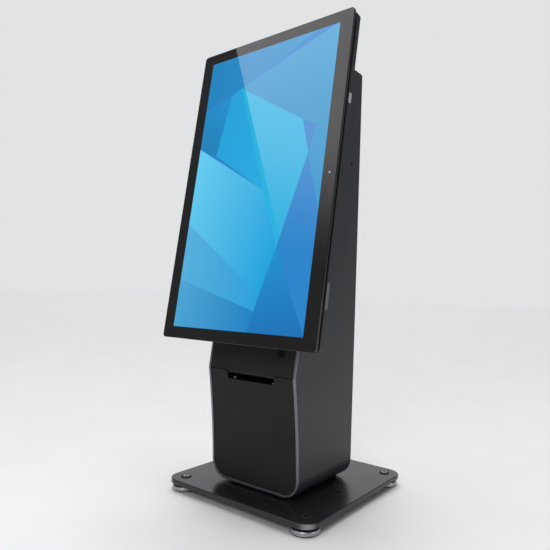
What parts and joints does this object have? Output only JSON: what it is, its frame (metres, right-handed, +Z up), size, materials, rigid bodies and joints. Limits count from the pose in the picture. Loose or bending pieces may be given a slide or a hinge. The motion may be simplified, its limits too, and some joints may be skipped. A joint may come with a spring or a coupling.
{
  "type": "touchscreen kiosk",
  "caption": "Counter-top kiosk: a tilted portrait touchscreen on a slim column with a receipt printer behind a drop-down door, on a square plate with levelling feet.",
  "frame": {"origin": "on the floor under the middle of the kiosk's overall box", "axes": "+X to the right of someone facing the screen, +Y to the back, +Z up"},
  "size_m": [0.3146, 0.3107, 0.7688],
  "materials": {
    "base_paint": "satin black powder coat",
    "shell_paint": "satin dark grey paint",
    "trim_metal": "satin grey anodised edge",
    "panel_black": "fine-textured matt black moulding",
    "chute_black": "matt black",
    "steel_bright": "turned bright steel",
    "steel_black": "black oxide",
    "rubber_black": "matt black rubber",
    "galvanised": "zinc-plated sheet",
    "lock_chrome": "nickel plate",
    "cover_black": "fine-textured matt black moulding",
    "frame_black": "satin black moulding",
    "cover_glass": "black-printed cover glass",
    "led_clear": "clear lens",
    "lcd_image": "lit blue picture",
    "light_guide": "clear acrylic light guide",
    "board_green": "green board with parts",
    "brass_post": "brass",
    "paper_white": "thermal paper",
    "card_brown": "cardboard",
    "unit_grey": "dark grey moulding",
    "head_metal": "extruded aluminium"
  },
  "bodies": {
    "kiosk": {"base_plate": "base_paint", "foot_inserts": "steel_black", "column_spacer": "chute_black", "column_shell": "shell_paint", "column_trim": "trim_metal", "column_screws": "steel_black", "spine": "galvanised", "side_inserts": "steel_black", "rear_cover": "panel_black", "rear_cover_screws": "steel_black", "outlet_grommet": "rubber_black", "top_cap": "panel_black", "upper_fascia": "panel_black", "lock_body": "lock_chrome", "lock_nut": "lock_chrome", "tear_bar": "steel_black", "printer_tray": "galvanised", "tray_screws": "steel_black", "printer_chassis": "galvanised", "roll_spindle": "steel_bright", "lid_pin": "steel_bright", "paper_cutter": "chute_black", "feed_motor": "unit_grey", "power_supply": "unit_grey", "power_supply_strap": "galvanised", "vesa_bracket": "galvanised", "vesa_screws": "steel_black", "bracket_screws": "steel_black", "display_glass": "cover_glass", "status_led": "led_clear", "front_frame": "frame_black", "mid_frame": "cover_black", "lcd_panel": "lcd_image", "backlight": "light_guide", "display_rear_cover": "cover_black", "main_board": "board_green", "board_posts": "brass_post", "speakers": "cover_black", "port_cover": "cover_black"},
    "printer_door": {"printer_door": "panel_black", "door_pivots": "steel_black", "door_catch": "steel_black", "paper_chute": "chute_black"},
    "lock": {"lock_plug": "lock_chrome", "lock_cam": "lock_chrome"},
    "printer_lid": {"printer_lid": "unit_grey", "print_head": "head_metal"},
    "roll": {"paper_roll": "paper_white", "roll_core": "card_brown"},
    "platen": {"platen_roller": "rubber_black", "platen_shaft": "steel_bright"},
    "power_button": {"power_button": "frame_black"},
    "foot_front_left": {"levelling_foot_front_left": "steel_bright", "foot_sole_front_left": "rubber_black"},
    "foot_front_right": {"levelling_foot_front_right": "steel_bright", "foot_sole_front_right": "rubber_black"},
    "foot_rear_left": {"levelling_foot_rear_left": "steel_bright", "foot_sole_rear_left": "rubber_black"},
    "foot_rear_right": {"levelling_foot_rear_right": "steel_bright", "foot_sole_rear_right": "rubber_black"}
  },
  "joints": [
    {"name": "door_swing", "type": "hinge", "parent": "kiosk", "child": "printer_door", "pos_m": [0, -0.08698, 0.06], "axis": [1, 0, 0], "range_deg": [0, 80]},
    {"name": "lock_turn", "type": "hinge", "parent": "kiosk", "child": "lock", "pos_m": [0.059, -0.1029, 0.245], "axis": [0, 0.989, -0.1478], "range_deg": [0, 90]},
    {"name": "lid_swing", "type": "hinge", "parent": "kiosk", "child": "printer_lid", "pos_m": [0, -0.01863, 0.206], "axis": [-1, 0, 0], "range_deg": [0, 55]},
    {"name": "roll_spin", "type": "hinge", "parent": "kiosk", "child": "roll", "pos_m": [0, -0.01263, 0.12], "axis": [1, 0, 0], "continuous": true},
    {"name": "platen_spin", "type": "hinge", "parent": "kiosk", "child": "platen", "pos_m": [0, -0.06663, 0.1925], "axis": [1, 0, 0], "continuous": true},
    {"name": "button_press", "type": "slide", "parent": "kiosk", "child": "power_button", "axis": [-1, 0, 0], "range_m": [0, 0.0006], "stiffness_N_per_m": 500},
    {"name": "level_front_left", "type": "hinge", "parent": "kiosk", "child": "foot_front_left", "pos_m": [-0.125, -0.11963, 0], "axis": [0, 0, 1], "continuous": true},
    {"name": "level_front_right", "type": "hinge", "parent": "kiosk", "child": "foot_front_right", "pos_m": [0.125, -0.11963, 0], "axis": [0, 0, 1], "continuous": true},
    {"name": "level_rear_left", "type": "hinge", "parent": "kiosk", "child": "foot_rear_left", "pos_m": [-0.125, 0.13037, 0], "axis": [0, 0, 1], "continuous": true},
    {"name": "level_rear_right", "type": "hinge", "parent": "kiosk", "child": "foot_rear_right", "pos_m": [0.125, 0.13037, 0], "axis": [0, 0, 1], "continuous": true}
  ],
  "couplings": [
    {"joint": "platen_spin", "follows": "roll_spin", "ratio": 5.4286}
  ]
}
